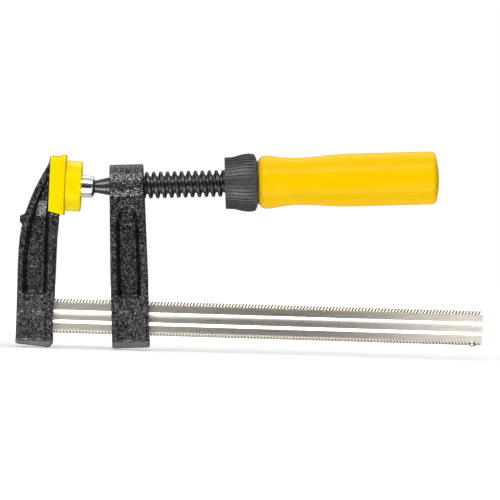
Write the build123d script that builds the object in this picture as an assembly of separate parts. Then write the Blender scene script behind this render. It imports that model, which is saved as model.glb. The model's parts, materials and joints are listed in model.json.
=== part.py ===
from build123d import *

import math
import os

# An F clamp with a 200 mm rail and a 50 mm throat, closed, with its screw arm rocked back on the rail.
# Frame: the origin is where the screw's axis meets the fixed jaw's clamping face. +X runs along the
# rail towards the handle, +Z from the rail up to the screw, and Y = 0 is the mid-plane. Millimetres.

# Driving dimensions
ROCK = 3.2  # degrees that the sliding arm leans back on the rail, which tilts the screw up
JAW_LEAN = 1.0  # degrees that the fixed clamping face leans back
CASTING_HALF = 8.0  # half the width of both castings
WEB_HALF = 2.6  # half the thickness of their webs
WALL_DRAFT = 15.0  # degrees, on the pockets' walls

RAIL_Z = -55.5  # height of the rail's middle
RAIL_HEIGHT = 14.8
RAIL_THICKNESS = 5.0
RAIL_START = -17.8
RAIL_LENGTH = 200.0
EDGE_HEIGHT = 1.5  # serrated chamfers along the rail's four long edges
EDGE_DEPTH = 1.0
GROOVE_TOP = 2.65  # shallow groove rolled into each side, between these heights about the rail's middle
GROOVE_LOW = -3.05
GROOVE_DEPTH = 0.7
GROOVE_SLOPE = 27.0  # degrees, on its upper and lower walls
GROOVE_UPPER_RADIUS = 4.0  # its upper wall runs into the floor in a wide curve
GROOVE_LOWER_RADIUS = 0.3
TOOTH_PITCH = 1.4
TOOTH_DEPTH = 0.42
TOOTH_LEAN = 25.0
END_SLANT = 3.0
STAKE_RADIUS = 1.4  # bump punched out of the rail's lower edge, which stops the sliding arm
STAKE_FROM_END = 4.5
STAKE_INSET = 0.8  # how far the bump's centre lies inside the rail's edge

BALL_RADIUS = 3.6
BALL_BACK = 10.44  # the ball's centre, from the origin along the screw
THREAD_PITCH = 3.0
THREAD_RADIUS = 5.75
THREAD_ROOT = 3.85
THREAD_CREST = 1.1  # the ridge's width at the top and at the root
THREAD_BASE = 2.1
THREAD_SHIFT = 0.6  # how far the ridges lie towards the pad, which sets how the screw is turned at rest
FLANK_GAP = 0.42  # total play along the axis between the screw and the boss
ROOT_GAP = 0.25  # radial play

BOSS_RADIUS = 9.2
BOSS_HALF = 7.3
BOSS_CENTRE = 26.64  # from the origin along the screw
ARM_FOOT = -70.0  # the arm's sole, below the screw
SLOT_CENTRE = -57.1  # the rail's slot, below the screw
SLOT_HEIGHT = 16.2
SLOT_WIDTH = 5.6

PAD_GAP = 0.15  # between the two clamping faces
CAP_RADIUS = 10.9  # round pad cap
CAP_LENGTH = 6.8
PAD_PLATE_RADIUS = 9.5
SOCKET_RADIUS = 4.7

SHANK_RADIUS = 4.5
COLLAR_START = 58.6  # these four are measured from the ball's centre
COLLAR_END = 72.4
HANDLE_START = 72.9
HANDLE_END = 151.0
RIBS = 46

# The places of the moving groups
BALL = (BALL_BACK * math.cos(math.radians(ROCK)), 0, BALL_BACK * math.sin(math.radians(ROCK)))
SCREW = Pos(*BALL) * Rot(0, -ROCK, 0)  # +X along the screw from the ball's centre
PAD = Pos(*BALL) * Rot(0, JAW_LEAN, 0)  # +X along the pad's own axis, square to the fixed face
ARM = Rot(0, -ROCK, 0) * Pos(BOSS_CENTRE, 0, 0)  # +X along the bore, from the boss's middle
JAW = Rot(0, JAW_LEAN, 0)  # +X out of the fixed clamping face
PAD_FACE = PAD_GAP - BALL_BACK * math.cos(math.radians(ROCK + JAW_LEAN))


def plate(outline, half):
    """A plate with this outline in X and Z, centred on the mid-plane."""
    return extrude(Plane.XZ * make_face(outline), amount=half, both=True)


def block(x0, x1, half, z0, z1):
    """A box between these limits, centred on the mid-plane."""
    return Pos((x0 + x1) / 2, 0, (z0 + z1) / 2) * Box(x1 - x0, 2 * half, z1 - z0)


def turned(outline, arc=360.0):
    """The solid that this outline, in X and radius, sweeps out round the X axis."""
    return revolve(make_face(outline), Axis.X, arc)


def ring(x0, x1, inner, outer):
    """A plain ring round the X axis."""
    corners = [(x0, inner), (x1, inner), (x1, outer), (x0, outer)]
    return turned(Polyline(*corners, close=True))


def both_sides(outline, depth, draft=WALL_DRAFT):
    """Two pockets with this mouth, sunk with drafted walls into both faces of a casting."""
    mouth = Pos(0, -CASTING_HALF, 0) * (Plane.XZ * make_face(outline))
    pocket = extrude(mouth, amount=-depth, taper=draft)
    return pocket + mirror(pocket, Plane.XZ)


def side_bars(outline, x0, x1):
    """Two bars along X, one on each side, with this outline in Y and Z and its mirror image."""
    bar = extrude(Plane.YZ * make_face(Polyline(*outline, close=True)), amount=x1 - x0)
    bar = Pos(x0, 0, 0) * bar
    return bar + mirror(bar, Plane.XZ)


def rounded(corners, radii):
    """A closed outline through these corners, each rounded to its radius."""
    return FilletPolyline(*corners, radius=radii, close=True)


# Rail

def rail_section(height, thickness):
    """The bar's plain section, with chamfered edges, in Y and Z about its own middle."""
    flank = height / 2 - EDGE_HEIGHT
    side = thickness / 2
    corner = side - EDGE_DEPTH
    half = [(corner, height / 2), (side, flank), (side, -flank), (corner, -height / 2)]
    return make_face(Polyline(*half, *[(-y, z) for y, z in reversed(half)], close=True))


def edge_teeth():
    """V notches rolled at a slant across the four chamfers, one row to each."""
    notch = [(-TOOTH_DEPTH, TOOTH_DEPTH / 2), (0, -TOOTH_DEPTH), (TOOTH_DEPTH, TOOTH_DEPTH / 2)]
    cutter = plate(Polyline(*notch, close=True), EDGE_HEIGHT + EDGE_DEPTH)
    teeth = []
    for side in (1, -1):
        for up in (1, -1):
            y = side * (RAIL_THICKNESS - EDGE_DEPTH) / 2
            z = RAIL_Z + up * (RAIL_HEIGHT - EDGE_HEIGHT) / 2
            outward = (0, side * EDGE_HEIGHT, up * EDGE_DEPTH)
            chamfer_plane = Plane(origin=(RAIL_START, y, z), x_dir=(1, 0, 0), z_dir=outward)
            slant = Rot(0, 0, side * up * TOOTH_LEAN)
            for number in range(int(RAIL_LENGTH / TOOTH_PITCH)):
                along = Pos((number + 0.5) * TOOTH_PITCH, 0, 0)
                teeth.append(along * chamfer_plane.location * slant * cutter)
    return teeth


def rail_groove():
    """The space of the shallow groove in one side: a wide hollow above, and a steeper wall below."""
    side = RAIL_THICKNESS / 2
    floor = side - GROOVE_DEPTH
    run = 1 / math.tan(math.radians(GROOVE_SLOPE))
    outside = side + 1
    corners = [
        (outside, GROOVE_TOP + run),
        (floor, GROOVE_TOP - GROOVE_DEPTH * run),
        (floor, GROOVE_LOW + GROOVE_DEPTH * run),
        (outside, GROOVE_LOW - run),
    ]
    outer = GROOVE_LOWER_RADIUS
    section = make_face(rounded(corners, [outer, GROOVE_UPPER_RADIUS, GROOVE_LOWER_RADIUS, outer]))
    return Pos(RAIL_START, 0, RAIL_Z) * extrude(Plane.YZ * section, amount=RAIL_LENGTH)


def make_rail():
    bar = extrude(Plane.YZ * rail_section(RAIL_HEIGHT, RAIL_THICKNESS), amount=RAIL_LENGTH)
    bar = Pos(RAIL_START, 0, RAIL_Z) * bar
    groove = rail_groove()
    end = Pos(RAIL_START + RAIL_LENGTH, 0, RAIL_Z) * Rot(0, END_SLANT, 0)
    waste = end * block(0, RAIL_HEIGHT, RAIL_THICKNESS, -RAIL_HEIGHT, RAIL_HEIGHT)
    bar = bar.cut(groove, mirror(groove, Plane.XZ), waste, *edge_teeth())
    stake_x = RAIL_START + RAIL_LENGTH - STAKE_FROM_END
    stake = Pos(stake_x, 0, RAIL_Z - RAIL_HEIGHT / 2 + STAKE_INSET) * Sphere(STAKE_RADIUS)
    for side in (1, -1):
        bar = bar.fuse(Pos(0, side * (RAIL_THICKNESS / 2 - STAKE_RADIUS / 2), 0) * stake)
    return bar


# Fixed jaw

JAW_OUTSIDE = -19.3  # its straight outer edge
JAW_FOOT = -69.1
SOLE_RISE = 1.1  # how far the sole climbs towards the outer edge
HEEL_CHAMFER = 0.4
TOE_RADIUS = 1.3
TOE_SLOPE = -0.02  # sideways lean of the inner edge where it meets the rounded toe
INNER_EDGE = [(-2.5, -14.5), (-3.0, -22.0), (-3.6, -66.8)]
ARCH_START = (-19.2, -32.0)
JAW_BACK = [(-17.9, -16.5), (-14.8, -5.9), (-11.0, 2.9)]  # points that the arched back runs through
ARCH_END = (-7.0, 10.5)
ARCH_END_SLOPE = (0.5, 1)
CROWN = [(-6.6, 13.3), (-2.4, 13.3)]  # the casting's flat top, inside the head
RIM = 2.4
ARCH_RIM_DROP = 0.84  # the pocket follows the arch this far below it, as well as the rim's width in
INNER_RIM_EDGE = -6.4
POCKET_FLOOR = -46.8
POCKET_BEND = -30.0  # height at which the pocket's outer wall starts to arch
POCKET_TOP = 6.5
POCKET_CORNER = 1.3
POCKET_BEND_RADIUS = 20.0
POCKET_TOP_RADII = [1.0, 0.5]
JAW_RAMP = (-12.8, -6.3)  # heights between which the pocket's floor climbs towards the head
HEAD_POCKET_DEPTH = 2.8

HEAD_TOP = 13.3
HEAD_FRONT = -2.0  # the head's own face, behind the soft cap's face
HEAD_BACK = -5.6
HEAD_LOW = -11.4
HEAD_LOW_DROP = 0.8  # how much lower the head reaches at its front
HEAD_HALF = 9.0
BACK_LUG = [(-19.0, -15.9), (-19.0, -12.6), (-15.0, -11.2), (-15.0, -17.0)]
LUG_RADII = [1.2, 1.0, 0.3, 0.3]
LUG_HALF = 6.0

PANEL_DEPTH = 0.7
PANEL_RADIUS = 0.8
PANEL_FADE = 7.0
PANEL_OVERRUN = 0.2  # how far a panel runs out past the edge it is open to
JAW_PANEL_LOW = -66.2
BEVEL_DEPTH = 1.5
JAW_BEVEL_LOW = -69.4
JAW_BEVEL_HEIGHT = 3.0


def make_fixed_jaw():
    body = jaw_profile()
    body -= jaw_pockets()

    # The wide head plate that carries the soft cap
    head = [
        (HEAD_BACK, HEAD_LOW),
        (HEAD_FRONT, HEAD_LOW - HEAD_LOW_DROP),
        (HEAD_FRONT, HEAD_TOP),
        (HEAD_BACK, HEAD_TOP),
    ]
    body += JAW * plate(Polyline(*head, close=True), HEAD_HALF)
    body += plate(rounded(BACK_LUG, LUG_RADII), LUG_HALF)
    panel_left = JAW_OUTSIDE - PANEL_OVERRUN
    body -= foot_panels(panel_left, INNER_RIM_EDGE, JAW_PANEL_LOW, POCKET_FLOOR - RIM)
    body -= sole_bevels(JAW_BEVEL_LOW, JAW_BEVEL_HEIGHT)
    hole = extrude(Plane.YZ * rail_section(RAIL_HEIGHT, RAIL_THICKNESS), amount=RAIL_HEIGHT * 2)
    return body - Pos(RAIL_START, 0, RAIL_Z) * hole


def jaw_profile():
    """The casting's outline: a straight outer edge that arches over into the head, and a rounded toe."""
    inner_foot = INNER_EDGE[-1]
    outer_foot = (JAW_OUTSIDE, JAW_FOOT + SOLE_RISE + HEEL_CHAMFER)
    toe_end = (inner_foot[0] - TOE_RADIUS, JAW_FOOT)
    straight = Line(outer_foot, ARCH_START)
    arch = Spline(ARCH_START, *JAW_BACK, ARCH_END, tangents=[(0, 1), ARCH_END_SLOPE])
    crown = Polyline(ARCH_END, *CROWN, *INNER_EDGE)
    toe = TangentArc(inner_foot, toe_end, tangent=(TOE_SLOPE, -1))
    sole = Polyline(toe_end, (JAW_OUTSIDE + SOLE_RISE, JAW_FOOT + SOLE_RISE), outer_foot)
    return plate(Wire([straight, arch, *crown.edges(), toe, *sole.edges()]), CASTING_HALF)


def jaw_pockets():
    """Pockets inside an even rim, whose floors climb a ramp to a shallower part beside the head."""
    inset_arch = [(x + RIM, z - ARCH_RIM_DROP) for x, z in JAW_BACK]
    outer_x = JAW_OUTSIDE + RIM
    mouth = [(outer_x, POCKET_FLOOR), (outer_x, POCKET_BEND), *inset_arch]
    mouth += [(INNER_RIM_EDGE, POCKET_TOP), (INNER_RIM_EDGE, POCKET_FLOOR)]
    bends = [POCKET_BEND_RADIUS] * len(JAW_BACK)
    radii = [POCKET_CORNER, *bends, *POCKET_TOP_RADII, POCKET_CORNER]
    pockets = both_sides(rounded(mouth, radii), CASTING_HALF - WEB_HALF)
    shallow = HEAD_POCKET_DEPTH - CASTING_HALF
    low, high = JAW_RAMP
    ramp = [(0, low), (-WEB_HALF, low), (shallow, high), (shallow, HEAD_TOP), (0, HEAD_TOP)]
    return pockets - side_bars(ramp, JAW_OUTSIDE, 0)


def foot_panels(x0, x1, z0, z1):
    """Shallow panels sunk into both faces of a casting's foot, and fading out towards the top."""
    panel = [(x0, z0), (x1, z0), (x1, z1), (x0, z1)]
    panels = both_sides(rounded(panel, [PANEL_RADIUS] * len(panel)), PANEL_DEPTH)
    low = z1 - PANEL_FADE
    fade = [(0, low), (PANEL_DEPTH - CASTING_HALF, low), (-CASTING_HALF, z1), (0, z1)]
    return panels - side_bars(fade, x0 - 1, x1 + 1)


def sole_bevels(low, height):
    """Wedges that bevel the lower edges of both faces of a casting's foot."""
    face = -CASTING_HALF - 0.01
    spare = 1.0  # they reach this far below the foot
    tip = face + BEVEL_DEPTH * (height + spare) / height
    wedge = [(face, low + height), (face, low - spare), (tip, low - spare)]
    return side_bars(wedge, JAW_OUTSIDE - 1, -JAW_OUTSIDE)


# Soft cap on the fixed jaw

JAW_CAP_TOP = 14.05  # the front plate stands above the side walls
JAW_CAP_LOW = -12.0
SIDE_WALL_TOP = 13.1
SIDE_WALL_LOW = -10.6
SIDE_WALL = 1.5
BACK_LIP = 0.9
LIP_THICKNESS = 1.0
CAP_EDGE_RADIUS = 0.8
CAP_HOLLOW_REACH = 20.0  # the cap's hollow runs out through its top and bottom
TOP_BEVEL_HEIGHT = 1.9
TOP_BEVEL_DEPTH = 1.1
BEVEL_RUN_ON = 1.5  # the bevel's wedge runs on by this share, past the top of the front plate


def make_jaw_cap():
    """Soft C-section cap: a front plate, two side walls and a lip behind each side of the head."""
    rear = HEAD_BACK - LIP_THICKNESS
    outside = HEAD_HALF + SIDE_WALL
    outline = [
        (0, JAW_CAP_TOP),
        (0, JAW_CAP_LOW),
        (rear, SIDE_WALL_LOW),
        (rear, SIDE_WALL_TOP),
        (HEAD_FRONT, SIDE_WALL_TOP),
        (HEAD_FRONT, JAW_CAP_TOP),
    ]
    cap = plate(Polyline(*outline, close=True), outside)
    cap -= block(HEAD_BACK, HEAD_FRONT, HEAD_HALF, -CAP_HOLLOW_REACH, CAP_HOLLOW_REACH)
    cap -= block(rear - 1, HEAD_BACK, HEAD_HALF - BACK_LIP, -CAP_HOLLOW_REACH, CAP_HOLLOW_REACH)
    corners = cap.edges().filter_by(Axis.Z).group_by(Axis.X)[-1]
    cap = fillet(corners, CAP_EDGE_RADIUS)
    low = SIDE_WALL_TOP - TOP_BEVEL_HEIGHT
    high = low + TOP_BEVEL_HEIGHT * BEVEL_RUN_ON
    inward = -outside + TOP_BEVEL_DEPTH * BEVEL_RUN_ON
    beyond = -outside - 1
    bevel = [(-outside, low), (inward, high), (beyond, high), (beyond, low)]
    cap -= side_bars(bevel, rear - 1, 1)
    return JAW * cap


# Screw thread, shared by the spindle and the boss

def thread_section(root, crest, play):
    """Section across a single-start trapezoidal thread: root and crest arcs, joined by two spirals."""
    slope = (THREAD_BASE - THREAD_CREST) / 2 / (THREAD_RADIUS - THREAD_ROOT)
    half_root = (THREAD_BASE + play) / 2 + slope * (THREAD_ROOT - root)
    half_crest = (THREAD_CREST + play) / 2 - slope * (crest - THREAD_RADIUS)

    def at(offset, radius):
        angle = 2 * math.pi * offset / THREAD_PITCH
        return radius * math.cos(angle), radius * math.sin(angle)

    def flank(side):
        steps = 4
        points = []
        for step in range(steps + 1):
            share = step / steps
            offset = side * (half_root + share * (half_crest - half_root))
            points.append(at(offset, root + share * (crest - root)))
        return Spline(*points)

    top = ThreePointArc(at(-half_crest, crest), at(0, crest), at(half_crest, crest))
    low = ThreePointArc(at(half_root, root), at(THREAD_PITCH / 2, root), at(-half_root, root))
    return make_face(Wire([flank(-1), top, flank(1), low]))


def threaded_bar(root, crest, play, start, end):
    """A right-hand threaded bar along X, made by twisting its section once round for each pitch."""
    section = thread_section(root, crest, play).face()
    turns = (end - start) / THREAD_PITCH
    bar = Solid.extrude_linear_with_rotation(section, (0, 0, 0), (0, 0, end - start), 360 * turns)
    in_step = Rot(0, 0, 360 * (start + THREAD_SHIFT) / THREAD_PITCH)
    return Pos(start, 0, 0) * Rot(0, 90, 0) * in_step * bar


# Sliding arm

ARM_TOP_HALF = 7.5  # its half width under the boss, and lower down
ARM_HALF = 8.0
TAPER_START = -6.0
TAPER_END = -40.0
ARM_CORNER = 0.4  # small chamfers at the foot's two corners
BOSS_ROUND = 0.6
ARM_POCKET_TOP = -14.0
ARM_POCKET_LOW = -49.1
ARM_POCKET_CORNER = 1.5
ARM_POCKET_TOP_RADIUS = 1.5
ARM_POCKET_LOW_RADIUS = 0.8
ARM_RIM_LEFT = -5.2
ARM_RIM_RIGHT = 5.1
ARM_RIM_TAPER = 0.4  # how much nearer the middle the right rim's edge is at the top
ARM_PANEL_RIGHT = 7.0
ARM_PANEL_LOW = -67.2
ARM_BEVEL_HEIGHT = 2.8
ARM_RAMP_END = -16.6  # where the ramp at the pocket's top reaches its floor
HOOD_TOP = -8.6  # shallow arched hollow between the boss and the pocket
HOOD_HALF = 4.4
HOOD_DEPTH = 2.2
HOOD_DRAFT = 45.0


def make_sliding_arm():
    outline = [
        (-BOSS_HALF, 0.0),
        (-ARM_TOP_HALF, TAPER_START),
        (-ARM_HALF, TAPER_END),
        (-ARM_HALF, ARM_FOOT + ARM_CORNER),
        (-ARM_HALF + ARM_CORNER, ARM_FOOT),
        (ARM_HALF - ARM_CORNER, ARM_FOOT),
        (ARM_HALF, ARM_FOOT + ARM_CORNER),
        (ARM_HALF, TAPER_END),
        (ARM_TOP_HALF, TAPER_START),
        (BOSS_HALF, 0.0),
    ]
    body = plate(Polyline(*outline, close=True), CASTING_HALF)
    body -= arm_pockets()
    body -= arm_hoods()
    panel_left = ARM_RIM_LEFT - PANEL_OVERRUN
    body -= foot_panels(panel_left, ARM_PANEL_RIGHT, ARM_PANEL_LOW, ARM_POCKET_LOW - RIM)
    body -= sole_bevels(ARM_FOOT, ARM_BEVEL_HEIGHT)
    boss = ring(-BOSS_HALF, BOSS_HALF, 0, BOSS_RADIUS)
    body += fillet(boss.edges(), BOSS_ROUND)
    slot_low = SLOT_CENTRE - SLOT_HEIGHT / 2
    body -= block(-2 * ARM_HALF, 2 * ARM_HALF, SLOT_WIDTH / 2, slot_low, slot_low + SLOT_HEIGHT)
    return ARM * body - SCREW * bored_thread()


def arm_pockets():
    """Long pockets between the rims, whose floors climb a ramp at the top to the hoods."""
    corner = ARM_POCKET_CORNER
    mouth = [
        (ARM_RIM_LEFT, ARM_POCKET_TOP),
        (ARM_RIM_RIGHT - ARM_RIM_TAPER, ARM_POCKET_TOP),
        (ARM_RIM_RIGHT, ARM_POCKET_LOW + corner),
        (ARM_RIM_RIGHT - corner, ARM_POCKET_LOW),
        (ARM_RIM_LEFT + corner, ARM_POCKET_LOW),
        (ARM_RIM_LEFT, ARM_POCKET_LOW + corner),
    ]
    radii = [ARM_POCKET_TOP_RADIUS] * 2 + [ARM_POCKET_LOW_RADIUS] * 4
    pockets = both_sides(rounded(mouth, radii), CASTING_HALF - WEB_HALF)
    hood_floor = HOOD_DEPTH - CASTING_HALF
    ramp = [(0, ARM_RAMP_END), (-WEB_HALF, ARM_RAMP_END), (hood_floor, ARM_POCKET_TOP), (0, ARM_POCKET_TOP)]
    return pockets - side_bars(ramp, -ARM_HALF, ARM_HALF)


def arm_hoods():
    """Shallow hollows with round tops that lead from under the boss down into the pockets."""
    low = ARM_RAMP_END
    spring = HOOD_TOP - HOOD_HALF
    sides = Polyline((HOOD_HALF, spring), (HOOD_HALF, low), (-HOOD_HALF, low), (-HOOD_HALF, spring))
    arch = ThreePointArc((-HOOD_HALF, spring), (0, HOOD_TOP), (HOOD_HALF, spring))
    return both_sides(Wire([arch, *sides.edges()]), HOOD_DEPTH, HOOD_DRAFT)


def bored_thread():
    """The threaded hole's space, reaching past both faces of the boss."""
    middle = BOSS_CENTRE - BALL_BACK
    start = middle - BOSS_HALF - THREAD_PITCH
    end = middle + BOSS_HALF + THREAD_PITCH
    return threaded_bar(THREAD_ROOT + ROOT_GAP, THREAD_RADIUS + ROOT_GAP, FLANK_GAP, start, end)


# Swivel pad, whose socket is crimped round the screw's ball

LIP_BEYOND_BALL = 2.1
PAD_FRONT_WALL = 2.2
PAD_PLATE_THICKNESS = 4.0
PAD_PLATE_ROUND = 0.6
SOCKET_ROUND = 1.5
BALL_PLAY = 0.05
PAD_CAP_LIP = 0.5
PAD_CAP_ROUND = 0.5


def make_swivel_pad():
    plate_front = PAD_FACE + PAD_FRONT_WALL
    plate_back = plate_front + PAD_PLATE_THICKNESS
    pad = ring(plate_front, plate_back, 0, PAD_PLATE_RADIUS)
    pad = fillet(pad.edges(), PAD_PLATE_ROUND)
    hub = ring(plate_back - 1, LIP_BEYOND_BALL, 0, SOCKET_RADIUS)
    hub = fillet(hub.edges().sort_by(Axis.X)[-1], SOCKET_ROUND)
    hollow = Sphere(BALL_RADIUS + BALL_PLAY)
    return PAD * (pad + hub - hollow)


def make_pad_cap():
    inside = PAD_FACE + PAD_FRONT_WALL
    back = PAD_FACE + CAP_LENGTH
    lip_edge = PAD_PLATE_RADIUS - PAD_CAP_LIP
    corners = [
        (PAD_FACE, 0),
        (PAD_FACE, CAP_RADIUS),
        (back, CAP_RADIUS),
        (back, lip_edge),
        (inside + PAD_PLATE_THICKNESS, lip_edge),
        (inside + PAD_PLATE_THICKNESS, PAD_PLATE_RADIUS),
        (inside, PAD_PLATE_RADIUS),
        (inside, 0),
    ]
    cap = turned(Polyline(*corners, close=True))
    rims = cap.edges().filter_by(lambda edge: edge.length > 2 * math.pi * (CAP_RADIUS - 0.1))
    return PAD * fillet(rims, PAD_CAP_ROUND)


# Spindle, with its ball, cone neck, thread, plain shank and square tang in one piece

NECK_RADIUS = 2.6
NECK_START = 2.3
CONE_END = 8.64
CONE_RADIUS = 3.9
THREAD_START = 9.6
THREAD_END = 59.0
TANG_SIDE = 6.2
TANG_END = 120.0


def make_spindle():
    profile = [
        (0, 0),
        (NECK_START, 0),
        (NECK_START, NECK_RADIUS),
        (CONE_END, CONE_RADIUS),
        (THREAD_START, THREAD_ROOT),
        (THREAD_START, 0),
    ]
    spindle = Sphere(BALL_RADIUS) + turned(Polyline(*profile, close=True))
    spindle += threaded_bar(THREAD_ROOT, THREAD_RADIUS, 0, THREAD_START, THREAD_END)
    spindle += ring(THREAD_END, HANDLE_START, 0, SHANK_RADIUS)
    spindle += block(HANDLE_START, TANG_END, TANG_SIDE / 2, -TANG_SIDE / 2, TANG_SIDE / 2)
    return SCREW * spindle


# Grip: ribbed collar, washer and wooden handle

COLLAR_FRONT_RADIUS = 11.1
COLLAR_SWELL = [(62.8, 11.4), (65.2, 12.05), (68.4, 12.55)]  # its side swells towards the handle
COLLAR_SHOULDER = (71.5, 12.15)
COLLAR_BACK_RADIUS = 10.2
RIB_DEPTH = 0.4
RIB_GROOVE_ARC = 5.6  # degrees that each groove between two ribs spans
COLLAR_SLOPES = [(1, 0.05), (1, -0.3)]  # the side's slope at its front edge and at its shoulder
COUNTERBORE_GAP = 0.5
COUNTERBORE_STEP = 0.6  # gap between the thread's end and the counterbore's floor
WASHER_RADIUS = 9.5

HANDLE_FRONT_RADIUS = 8.2
HANDLE_SHOULDER = (76.2, 11.45)
HANDLE_WAIST = [(82.3, 10.75), (90.9, 10.2), (103.9, 11.05)]
HANDLE_FULL = (116.9, 11.43)  # from here back the handle is straight
HANDLE_CORNER = (147.6, 11.43)
DOME_EDGE = (149.8, 9.4)


def collar_curve(inset):
    """The collar's swelling side, or a line inside it, from its front edge to its widest and back."""
    points = [(COLLAR_START, COLLAR_FRONT_RADIUS), *COLLAR_SWELL, COLLAR_SHOULDER]
    return Spline(*[(x, r - inset) for x, r in points], tangents=COLLAR_SLOPES)


def make_grip_collar():
    side = collar_curve(0)
    counterbore = THREAD_RADIUS + COUNTERBORE_GAP
    step = THREAD_END + COUNTERBORE_STEP
    rest = Polyline(
        side @ 1,
        (COLLAR_END, COLLAR_BACK_RADIUS),
        (COLLAR_END, SHANK_RADIUS),
        (step, SHANK_RADIUS),
        (step, counterbore),
        (COLLAR_START, counterbore),
        side @ 0,
    )
    collar = turned(Wire([side, *rest.edges()]))
    grooves = [Rot(360 / RIBS * number, 0, 0) * rib_groove() for number in range(RIBS)]
    return SCREW * collar.cut(*grooves)


def rib_groove():
    """The space of one groove along the collar's side."""
    floor = collar_curve(RIB_DEPTH)
    clear = COLLAR_SWELL[-1][1] + 1
    before = COLLAR_START - 1
    behind = COLLAR_END + 1
    above = Polyline(
        floor @ 1,
        (behind, COLLAR_BACK_RADIUS),
        (behind, clear),
        (before, clear),
        (before, COLLAR_FRONT_RADIUS - RIB_DEPTH),
        floor @ 0,
    )
    return turned(Wire([floor, *above.edges()]), RIB_GROOVE_ARC)


def make_handle_washer():
    return SCREW * ring(COLLAR_END, HANDLE_START, SHANK_RADIUS, WASHER_RADIUS)


def make_handle():
    """A waisted, lacquered wooden handle with a domed end, on the screw's square tang."""
    front = (HANDLE_START, HANDLE_FRONT_RADIUS)
    tip = (HANDLE_END, 0)
    nose = TangentArc(front, HANDLE_SHOULDER, tangent=(0, 1))
    grip = Spline(HANDLE_SHOULDER, *HANDLE_WAIST, HANDLE_FULL, tangents=[(1, 0), (1, 0)])
    straight = Line(HANDLE_FULL, HANDLE_CORNER)
    corner = TangentArc(HANDLE_CORNER, DOME_EDGE, tangent=(1, 0))
    dome = TangentArc(tip, DOME_EDGE, tangent=(0, 1))
    axis = Polyline(tip, (HANDLE_START, 0), front)
    handle = turned(Wire([nose, grip, straight, corner, dome, *axis.edges()]))
    handle -= block(HANDLE_START - 1, TANG_END, TANG_SIDE / 2, -TANG_SIDE / 2, TANG_SIDE / 2)
    return SCREW * handle


PARTS = {
    "rail": make_rail,
    "fixed_jaw": make_fixed_jaw,
    "jaw_cap": make_jaw_cap,
    "sliding_arm": make_sliding_arm,
    "swivel_pad": make_swivel_pad,
    "pad_cap": make_pad_cap,
    "spindle": make_spindle,
    "grip_collar": make_grip_collar,
    "handle_washer": make_handle_washer,
    "handle": make_handle,
}

os.makedirs("parts", exist_ok=True)
for name, make in PARTS.items():
    part = make()
    print(name, "solids", len(part.solids()), "volume", round(part.volume))
    export_step(part, f"parts/{name}.step")
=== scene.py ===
import json
import math

import bpy
from mathutils import Matrix, Vector, noise

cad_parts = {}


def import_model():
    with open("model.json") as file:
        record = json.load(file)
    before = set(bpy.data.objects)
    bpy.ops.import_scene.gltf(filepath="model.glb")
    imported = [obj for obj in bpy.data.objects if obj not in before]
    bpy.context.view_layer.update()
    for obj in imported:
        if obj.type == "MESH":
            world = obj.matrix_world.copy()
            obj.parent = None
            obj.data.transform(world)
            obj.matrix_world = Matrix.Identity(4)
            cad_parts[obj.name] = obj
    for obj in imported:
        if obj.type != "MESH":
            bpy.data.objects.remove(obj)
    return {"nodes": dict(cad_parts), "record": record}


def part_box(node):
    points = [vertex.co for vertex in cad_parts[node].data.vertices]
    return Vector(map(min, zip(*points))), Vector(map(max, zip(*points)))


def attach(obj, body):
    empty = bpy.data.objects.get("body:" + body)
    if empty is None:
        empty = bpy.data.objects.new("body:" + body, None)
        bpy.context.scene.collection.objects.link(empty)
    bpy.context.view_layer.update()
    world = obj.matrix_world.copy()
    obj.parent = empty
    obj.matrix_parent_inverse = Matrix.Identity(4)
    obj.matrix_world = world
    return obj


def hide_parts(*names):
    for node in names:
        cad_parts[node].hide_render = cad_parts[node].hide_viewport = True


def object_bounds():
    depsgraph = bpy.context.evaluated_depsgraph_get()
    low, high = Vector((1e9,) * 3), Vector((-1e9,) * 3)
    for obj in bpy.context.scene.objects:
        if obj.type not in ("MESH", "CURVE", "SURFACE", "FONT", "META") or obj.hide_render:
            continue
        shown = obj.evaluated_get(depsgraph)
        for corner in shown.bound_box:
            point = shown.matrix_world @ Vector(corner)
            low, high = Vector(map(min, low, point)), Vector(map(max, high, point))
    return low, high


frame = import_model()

# Units, and the places and angles that the looks are worked out from
MM = 0.001
CAD_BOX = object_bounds()
MIDDLE = (CAD_BOX[0] + CAD_BOX[1]) / 2
FLOOR_GAP = 0.2 * MM
FLOOR_Z = CAD_BOX[0].z - FLOOR_GAP
JOINTS = {joint["name"]: joint for joint in frame["record"]["behaviour"]["joints"]}
SCREW_AXIS = Vector(JOINTS["screw_turn"]["axis"]).normalized()
SCREW_TURN = (0, math.atan2(SCREW_AXIS.z, SCREW_AXIS.x), 0)  # turns the screw's own line onto X


# Node-building helpers

NOISE_MIDDLE = (0.3, 0.7)  # a noise texture's value seldom leaves this range


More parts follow.
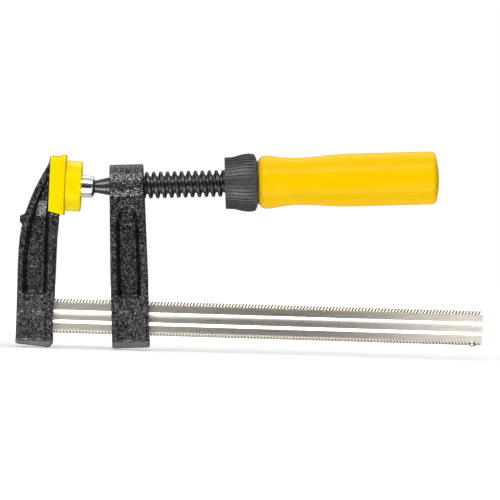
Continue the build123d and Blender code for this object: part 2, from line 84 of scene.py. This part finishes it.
class Nodes:
    """A node tree, with short calls for adding and joining nodes."""

    def __init__(self, tree):
        self.tree = tree

    def add(self, kind, settings=None, **inputs):
        made = self.tree.nodes.new("ShaderNode" + kind)
        for name, value in (settings or {}).items():
            setattr(made, name, value)
        for name, value in inputs.items():
            self.set(made, name.replace("_", " "), value)
        return made

    def set(self, made, name, value):
        socket = made.inputs[int(name)] if name.isdigit() else made.inputs[name]
        if isinstance(value, bpy.types.NodeSocket):
            self.tree.links.new(value, socket)
        else:
            socket.default_value = value

    def place(self, turn=(0, 0, 0), stretch=(1, 1, 1)):
        """The row frame's coordinates, turned and then stretched."""
        where = self.add("TexCoord").outputs["Object"]
        turned = self.add("Mapping", {"vector_type": "POINT"}, Vector=where, Rotation=turn).outputs[0]
        return self.add("Mapping", {"vector_type": "POINT"}, Vector=turned, Scale=stretch).outputs[0]

    def part(self, vector, axis):
        """One number out of a vector: its X, Y or Z."""
        return self.add("SeparateXYZ", Vector=vector).outputs[axis]

    def noise(self, where, scale, detail=3.0, roughness=0.5):
        made = self.add("TexNoise", Vector=where, Scale=scale, Detail=detail, Roughness=roughness)
        return made.outputs["Fac"]

    def ramp(self, factor, stops):
        """Colours (or greys) at these places along 0 to 1."""
        made = self.add("ValToRGB", Fac=factor)
        elements = made.color_ramp.elements
        while len(elements) < len(stops):
            elements.new(0.5)
        for element, (position, colour) in zip(elements, stops):
            element.position = position
            element.color = (*colour, 1) if isinstance(colour, tuple) else (colour, colour, colour, 1)
        return made.outputs["Color"]

    def remap(self, value, low, high, to_low, to_high):
        made = self.add("MapRange", Value=value, From_Min=low, From_Max=high, To_Min=to_low, To_Max=to_high)
        return made.outputs["Result"]

    def spread(self, value, to_low, to_high):
        """A noise value, spread so that its usual range runs from one level to another."""
        return self.remap(value, *NOISE_MIDDLE, to_low, to_high)

    def maths(self, operation, first, second=0.0):
        made = self.add("Math", {"operation": operation})
        self.set(made, "0", first)
        self.set(made, "1", second)
        return made.outputs[0]

    def blend(self, first, second, share):
        """Two values added up, the first with this share and the second with the rest."""
        one = self.maths("MULTIPLY", first, share)
        other = self.maths("MULTIPLY", second, 1 - share)
        return self.maths("ADD", one, other)

    def measure(self, operation, first, second):
        """A number from two vectors: their DISTANCE or DOT_PRODUCT."""
        made = self.add("VectorMath", {"operation": operation})
        self.set(made, "0", first)
        self.set(made, "1", second)
        return made.outputs["Value"]

    def mix(self, factor, first, second, blend="MIX"):
        made = self.add("Mix", {"data_type": "RGBA", "blend_type": blend})
        self.set(made, "0", factor)
        self.set(made, "6", (*first, 1) if isinstance(first, tuple) else first)
        self.set(made, "7", (*second, 1) if isinstance(second, tuple) else second)
        return made.outputs[2]


class Shader(Nodes):
    """A new material, with its one surface shader."""

    def __init__(self, name):
        self.material = bpy.data.materials.new(name)
        self.material.use_nodes = True
        super().__init__(self.material.node_tree)
        self.surface = self.tree.nodes["Principled BSDF"]

    def surface_set(self, **inputs):
        for name, value in inputs.items():
            self.set(self.surface, name.replace("_", " "), value)

    def facing(self, axis):
        """How much a face looks along X, Y or Z, from -1 to 1."""
        return self.part(self.add("NewGeometry").outputs["True Normal"], axis)

    def bump(self, height, depth, strength=1.0):
        made = self.add("Bump", Height=height, Distance=depth, Strength=strength)
        self.surface_set(Normal=made.outputs["Normal"])


# Geometry

CASTING_VOXEL = 0.3 * MM
ROUNDING = 0.5
ROUNDING_PASSES = 2
GRAIN_SIZE = 0.55 * MM
GRAIN_HEIGHT = 0.06 * MM
FINE_GRAIN_SIZE = 0.45 * GRAIN_SIZE
FINE_GRAIN_SHARE = 0.5
FINE_GRAIN_SHIFT = Vector((7.1, 3.3, 9.2))  # keeps the fine lumps from lining up with the coarse ones
BEVEL_TOP = -66.0 * MM  # the bevels under the castings' soles lie below this height
BEVEL_FACING = -0.3  # and they look down at least this much
SMOOTH_SHARE = 0.2  # how much of the grain is left on the bevels, where the paint ran smooth


def add_piece(name, mesh, body, slot, *nodes):
    """A new piece from this mesh, riding on a body and standing for CAD nodes."""
    piece = bpy.data.objects.new(name, mesh)
    bpy.context.scene.collection.objects.link(piece)
    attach(piece, body)
    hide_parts(*nodes)
    return piece


def remeshed(source, voxel):
    """A copy of a node's mesh as an even skin, which rounds its sharp edges a little."""
    piece = bpy.data.objects.new("skin", source.data.copy())
    bpy.context.scene.collection.objects.link(piece)
    skin = piece.modifiers.new("skin", "REMESH")
    skin.mode = "VOXEL"
    skin.voxel_size = voxel
    soft = piece.modifiers.new("soft", "SMOOTH")
    soft.factor = ROUNDING
    soft.iterations = ROUNDING_PASSES
    mesh = bpy.data.meshes.new_from_object(piece.evaluated_get(bpy.context.evaluated_depsgraph_get()))
    bpy.data.objects.remove(piece)
    return mesh


def grain(point):
    """Height of the coarse paint at a point, about -1 to 1: lumps of uneven size with pits between."""
    lumps = noise.noise(point / GRAIN_SIZE)
    fine = noise.noise(point / FINE_GRAIN_SIZE + FINE_GRAIN_SHIFT)
    return lumps + FINE_GRAIN_SHARE * fine


def make_casting(node, body, name):
    """The casting under its coarse coat of paint."""
    mesh = remeshed(frame["nodes"][node], CASTING_VOXEL)
    places = []
    for vertex in mesh.vertices:
        height = GRAIN_HEIGHT * grain(vertex.co)
        if vertex.normal.z < BEVEL_FACING and vertex.co.z < BEVEL_TOP:
            height *= SMOOTH_SHARE
        places.append(vertex.co + vertex.normal * height)
    for vertex, place in zip(mesh.vertices, places):
        vertex.co = place
    mesh.polygons.foreach_set("use_smooth", [True] * len(mesh.polygons))
    return add_piece(name, mesh, body, "textured_black_paint", node)


# Materials: texture scales are in features per metre, and colours are linear red, green and blue

def textured_paint():
    """Coarse glossy black enamel: lumps of many tones, the paler ones painted sparkle highlights, with
    painted shade darkening the steep sides, and smooth on the bevels.
    """
    lumps_per_metre = 2050.0
    drift = 0.05
    steep_start, steep_end, steep_shade = 0.35, 0.6, 0.6  # how far sideways a face looks, and the tone of the painted shade there
    bevel_end, bevel_start = -0.42, -0.25  # how far down a face looks
    bevel_colour, bevel_gloss, bevel_bump = (0.029, 0.030, 0.032), (0.5, 0.5, 0.5), 0.2
    glossy_tone, least_gloss = 0.8, 0.05
    # The paler of these lump colours are painted sparkle highlights on paint that is really an even black;
    # the darkest colour is the paint itself.
    lump_sparkle_colours = [
        (0.0, (0.001, 0.001, 0.001)),
        (0.45, (0.007, 0.007, 0.008)),
        (0.75, (0.031, 0.031, 0.034)),
        (1.0, (0.155, 0.155, 0.17)),
    ]
    s = Shader("textured_black_paint")
    where = s.place()
    lumps = s.add("TexVoronoi", {"feature": "F1"}, Vector=where, Scale=lumps_per_metre)
    chance = s.add("SeparateColor", Color=lumps.outputs["Color"]).outputs["Red"]
    sparkle_level = s.maths("ADD", chance, s.spread(s.noise(where, 900, roughness=0.6), -drift, drift))
    sideways = s.maths("ABSOLUTE", s.facing("X"))
    # Painted shade: faces that look sideways get a darker tone.
    tone = s.maths("MULTIPLY", sparkle_level, s.remap(sideways, steep_start, steep_end, 1.0, steep_shade))
    above = s.remap(s.part(where, "Z"), BEVEL_TOP, BEVEL_TOP + MM, 0.0, 1.0)
    rough = s.maths("MAXIMUM", above, s.remap(s.facing("Z"), bevel_end, bevel_start, 0.0, 1.0))
    gloss = s.remap(tone, 0.0, glossy_tone, least_gloss, 1.0)
    s.surface_set(
        Base_Color=s.mix(rough, bevel_colour, s.ramp(tone, lump_sparkle_colours)),
        Roughness=s.remap(chance, 0.0, 1.0, 0.36, 0.22),
        Specular_IOR_Level=s.mix(rough, bevel_gloss, gloss),
    )
    domes = s.maths("MULTIPLY", s.maths("SUBTRACT", 1.0, lumps.outputs["Distance"]), tone)
    s.bump(domes, 0.14 * MM, s.remap(rough, 0.0, 1.0, bevel_bump, 1.0))
    return s.material


def soft_yellow():
    """Bright lemon soft plastic with a faint moulded grain."""
    lemon, deeper_lemon, shine = (1.0, 0.80, 0.0), (1.0, 0.775, 0.0), (1.0, 0.75, 0.05, 1)
    s = Shader("yellow_soft_plastic")
    where = s.place()
    cloud = s.remap(s.noise(where, 120), 0.35, 0.65, 0.0, 1.0)
    s.surface_set(
        Base_Color=s.mix(cloud, lemon, deeper_lemon),
        Roughness=s.spread(s.noise(where, 900, detail=2.0), 0.27, 0.35),
        Specular_IOR_Level=0.4,
        Specular_Tint=shine,
    )
    s.bump(s.noise(where, 1800, detail=2.0), 0.02 * MM)
    return s.material


def nickel():
    """Rolled, nickel-plated steel with streaks along the bar, a faint speckle, and painted shade on the
    sideways flanks of the teeth.
    """
    dull_plate, bright_plate, flank_shade_colour = (0.62, 0.58, 0.51), (0.80, 0.76, 0.69), (0.30, 0.26, 0.21)
    streak_stretch, streak_share = (0.03, 1, 1), 0.6
    teeth_start, teeth_full = 1.8 * MM, 1.3 * MM  # in from the rail's long edges
    flank_start, flank_full, least_flank_shade = 0.05, 0.4, 0.1
    s = Shader("nickel_steel")
    streaks = s.noise(s.place(stretch=streak_stretch), 2600, detail=4.0, roughness=0.6)
    speckle = s.noise(s.place(), 1400, roughness=0.7)
    wear = s.blend(streaks, speckle, streak_share)
    low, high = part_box("rail")
    half_height = (high.z - low.z) / 2
    from_middle = s.maths("ABSOLUTE", s.maths("SUBTRACT", s.part(s.place(), "Z"), (low.z + high.z) / 2))
    toothed = s.remap(from_middle, half_height - teeth_start, half_height - teeth_full, 0.0, 1.0)
    sideways = s.maths("ABSOLUTE", s.facing("X"))
    # Painted shade: in the toothed bands, faces that look sideways are darkened towards a brown grey, the
    # more the further they turn.
    flank_shade = s.maths("MULTIPLY", toothed, s.remap(sideways, flank_start, flank_full, least_flank_shade, 1.0))
    s.surface_set(
        Base_Color=s.mix(flank_shade, s.ramp(wear, [(0.35, dull_plate), (0.6, bright_plate)]), flank_shade_colour),
        Roughness=s.spread(wear, 0.36, 0.24),
        Metallic=1.0,
    )
    s.bump(wear, 0.012 * MM)
    return s.material


def zinc():
    """Bright bluish zinc plate with fine turning marks."""
    grey, pale = (0.76, 0.80, 0.84), (0.90, 0.93, 0.95)
    ring_stretch = (1, 0.06, 0.06)
    s = Shader("zinc_plate")
    rings = s.noise(s.place(SCREW_TURN, ring_stretch), 3500)
    s.surface_set(
        Base_Color=s.ramp(rings, [(0.3, grey), (0.7, pale)]),
        Roughness=s.spread(rings, 0.08, 0.16),
        Metallic=1.0,
    )
    s.bump(rings, 0.006 * MM)
    return s.material


def dark_steel():
    """Black-oxide steel, oily, with brown stains here and there."""
    black, grey, brown = (0.035, 0.033, 0.032), (0.07, 0.067, 0.063), (0.13, 0.077, 0.04)
    s = Shader("oiled_dark_steel")
    where = s.place()
    stain = s.noise(where, 420, detail=4.0, roughness=0.6)
    pits = s.noise(where, 2400)
    s.surface_set(
        Base_Color=s.ramp(stain, [(0.35, black), (0.62, grey), (0.78, brown)]),
        Roughness=s.spread(pits, 0.26, 0.48),
        Metallic=0.85,
    )
    s.bump(pits, 0.05 * MM)
    return s.material


def slate_plastic():
    """Matt slate-grey moulded plastic."""
    dark, light = (0.045, 0.048, 0.054), (0.075, 0.079, 0.087)
    s = Shader("slate_plastic")
    where = s.place()
    moulded = s.noise(where, 2200, roughness=0.6)
    s.surface_set(
        Base_Color=s.ramp(s.noise(where, 300), [(0.3, dark), (0.7, light)]),
        Roughness=s.spread(moulded, 0.42, 0.58),
    )
    s.bump(moulded, 0.05 * MM)
    return s.material


def black_steel():
    """Dull blackened steel."""
    black, softer_black = (0.010, 0.010, 0.010), (0.035, 0.033, 0.032)
    s = Shader("black_steel")
    pits = s.noise(s.place(), 2000)
    s.surface_set(
        Base_Color=s.ramp(pits, [(0.3, black), (0.7, softer_black)]),
        Roughness=s.spread(pits, 0.4, 0.6),
    )
    s.bump(pits, 0.03 * MM)
    return s.material


def lacquered_wood():
    """Turned wood under glossy yellow lacquer, with faint grain along the handle."""
    deep_yellow, light_yellow, shine = (1.0, 0.59, 0.0), (1.0, 0.615, 0.0), (1.0, 0.75, 0.1, 1)
    fibre_stretch, fibre_share, wave_stretch = (0.05, 1, 1), 0.6, (0.3, 1, 1)
    s = Shader("lacquered_wood")
    fibres = s.noise(s.place(SCREW_TURN, fibre_stretch), 900, detail=4.0, roughness=0.6)
    waves = s.noise(s.place(SCREW_TURN, wave_stretch), 90, detail=2.0)
    wood = s.blend(fibres, waves, fibre_share)
    s.surface_set(
        Base_Color=s.ramp(wood, [(0.35, deep_yellow), (0.65, light_yellow)]),
        Roughness=s.spread(fibres, 0.35, 0.45),
        Specular_IOR_Level=0.1,
        Specular_Tint=shine,
        Coat_Weight=0.14,
        Coat_Roughness=s.spread(waves, 0.15, 0.22),
    )
    s.bump(wood, 0.03 * MM)
    return s.material


MATERIALS = {
    "rail": nickel,
    "fixed_jaw": textured_paint,
    "jaw_cap": soft_yellow,
    "sliding_arm": textured_paint,
    "swivel_pad": zinc,
    "pad_cap": soft_yellow,
    "spindle": dark_steel,
    "grip_collar": slate_plastic,
    "handle_washer": black_steel,
    "handle": lacquered_wood,
}
REPLACED = {
    "fixed_jaw": make_casting("fixed_jaw", "frame", "jaw_casting"),
    "sliding_arm": make_casting("sliding_arm", "arm", "arm_casting"),
}
finishes = {}
for name, make in MATERIALS.items():
    if make not in finishes:
        finishes[make] = make()
    slots = REPLACED.get(name, frame["nodes"][name]).data.materials
    slots.clear()
    slots.append(finishes[make])


# Stage, light and camera: sizes and distances in metres, angles in degrees

FLOOR_HALF = 4.0
GLOW_START, GLOW_FULL = 0.15, 0.7  # distances from the clamp
GLOW_UNDER_CLAMP = 0.12

LIGHT_DISTANCE = 0.75
SOFTBOX_WIDTH = 1.2
SOFTBOXES = {  # angle above the camera's side, height, radiance
    "softbox_front_top": (52, 0.27, 3.9),
    "softbox_front_bottom": (-52, 0.27, 3.25),
    "softbox_back_top": (125, 0.42, 1.0),
}
GLINT_ANGLES = {"glint_upper": 48, "glint_lower": -46}
GLINT_SIZE = 0.12
GLINT_SIDEWAYS = -0.45  # towards the jaw, as a share of the distance
GLINT_RADIANCE = 80.0
CARD_DISTANCE = 0.25
CARDS = {  # left, right, bottom, top
    "card_left": (-0.13, 0.045, -0.30, -0.07),
    "card_right": (0.157, 0.30, -0.25, 0.0),
}
CARD_RADIANCE = 1.3

DARK_PATCH_DROP = 8  # how far below the camera's side the dark patch's middle lies
# Places from behind the clamp (0) round to the camera's side (1), and how bright the world is there
WORLD_GREYS = [(0.05, 0.25), (0.12, 0.6), (0.50, 0.6), (0.80, 0.45), (0.90, 0.25), (0.985, 0.08)]
HORIZON_START, HORIZON_END, HORIZON_LEVEL = 0.15, 0.6, 0.35  # dimmer light from near the horizon

CAMERA_DISTANCE = 2.5
CAMERA_X, CAMERA_Z = 80.55 * MM, -24.64 * MM  # the point at the picture's middle
CAMERA_ROLL = 1.72
CAMERA_LENS = 400
WIDTH_SEEN = 0.216


def floor():
    """A pale floor that brightens to plain white away from the clamp."""
    mesh = bpy.data.meshes.new("floor")
    half = FLOOR_HALF
    corners = [(-half, -half), (half, -half), (half, half), (-half, half)]
    mesh.from_pydata([(x, y, FLOOR_Z) for x, y in corners], [], [(0, 1, 2, 3)])
    plane = bpy.data.objects.new("floor", mesh)
    bpy.context.scene.collection.objects.link(plane)
    s = Shader("pale_floor")
    away = s.measure("DISTANCE", s.add("TexCoord").outputs["Object"], (MIDDLE.x, 0, FLOOR_Z))
    s.surface_set(
        Base_Color=(0.92, 0.92, 0.92, 1),
        Roughness=0.85,
        Emission_Color=(1, 1, 1, 1),
        Emission_Strength=s.remap(away, GLOW_START, GLOW_FULL, GLOW_UNDER_CLAMP, 1.0),
    )
    mesh.materials.append(s.material)
    plane.visible_diffuse = plane.visible_glossy = plane.visible_shadow = False


def lamp(name, place, tilt, width, height, radiance):
    """A plain glowing panel here, turned to face up by this tilt and as bright as this."""
    data = bpy.data.lights.new(name, "AREA")
    data.shape = "RECTANGLE"
    data.size, data.size_y = width, height
    data.energy = radiance * math.pi * width * height
    made = bpy.data.objects.new(name, data)
    bpy.context.scene.collection.objects.link(made)
    made.location = place
    made.rotation_euler = (math.pi / 2 - tilt, 0, 0)
    made.visible_camera = False
    return made


def lamp_round(name, angle, sideways, width, height, radiance):
    """A panel that the clamp sees at this angle above the camera's side, moved sideways by a share."""
    tilt = math.radians(angle)
    away = Vector((sideways, -math.cos(tilt), math.sin(tilt))) * LIGHT_DISTANCE
    return lamp(name, Vector((MIDDLE.x, 0, MIDDLE.z)) + away, tilt, width, height, radiance)


def card(name, left, right, bottom, top):
    """A dim upright panel between the clamp and the camera, at one side of the camera's line of sight."""
    place = Vector(((left + right) / 2, -CARD_DISTANCE, (bottom + top) / 2))
    lamp(name, place, 0, right - left, top - bottom, CARD_RADIANCE)


def studio():
    """Long softboxes over and under the clamp, small lamps for glints, and two dim cards."""
    for name, (angle, height, radiance) in SOFTBOXES.items():
        lamp_round(name, angle, 0, SOFTBOX_WIDTH, height, radiance)
    for name, angle in GLINT_ANGLES.items():
        made = lamp_round(name, angle, GLINT_SIDEWAYS, GLINT_SIZE, GLINT_SIZE, GLINT_RADIANCE)
        made.visible_diffuse = False
    for name, edges in CARDS.items():
        card(name, *edges)


def world():
    """Grey light all round, with a dark patch at the camera's side, and plain white to the camera."""
    light = bpy.data.worlds.new("studio")
    bpy.context.scene.world = light
    light.use_nodes = True
    s = Nodes(light.node_tree)
    towards = s.add("TexCoord").outputs["Generated"]
    drop = math.radians(DARK_PATCH_DROP)
    ahead = s.measure("DOT_PRODUCT", towards, (0, -math.cos(drop), -math.sin(drop)))
    grey = s.ramp(s.remap(ahead, -1, 1, 0, 1), WORLD_GREYS)
    height = s.maths("ABSOLUTE", s.part(towards, "Z"))
    level = s.remap(height, HORIZON_START, HORIZON_END, HORIZON_LEVEL, 1.0)
    background = s.tree.nodes["Background"]
    s.set(background, "Color", s.mix(1.0, grey, level, "MULTIPLY"))
    s.set(background, "Strength", 1.0)
    white = s.add("Background", Color=(1, 1, 1, 1), Strength=1.0)
    chosen = s.add("MixShader")
    s.set(chosen, "0", s.add("LightPath").outputs["Is Camera Ray"])
    s.set(chosen, "1", background.outputs[0])
    s.set(chosen, "2", white.outputs[0])
    s.set(s.tree.nodes["World Output"], "Surface", chosen.outputs[0])
    bpy.context.scene.view_settings.view_transform = "Standard"


def camera():
    """Square to the clamp's side, level with its middle, and rolled so that the rail falls to the right."""
    roll = math.radians(CAMERA_ROLL)
    data = bpy.data.cameras.new("camera")
    data.lens = CAMERA_LENS
    data.sensor_width = CAMERA_LENS * WIDTH_SEEN / CAMERA_DISTANCE
    eye = bpy.data.objects.new("camera", data)
    bpy.context.scene.collection.objects.link(eye)
    right = Vector((math.cos(roll), 0, math.sin(roll)))
    up = Vector((-math.sin(roll), 0, math.cos(roll)))
    back = Vector((0, -1, 0))
    eye.matrix_world = Matrix((right, up, back)).transposed().to_4x4()
    eye.location = (CAMERA_X, -CAMERA_DISTANCE, CAMERA_Z)
    bpy.context.scene.camera = eye


floor()
studio()
world()
camera()
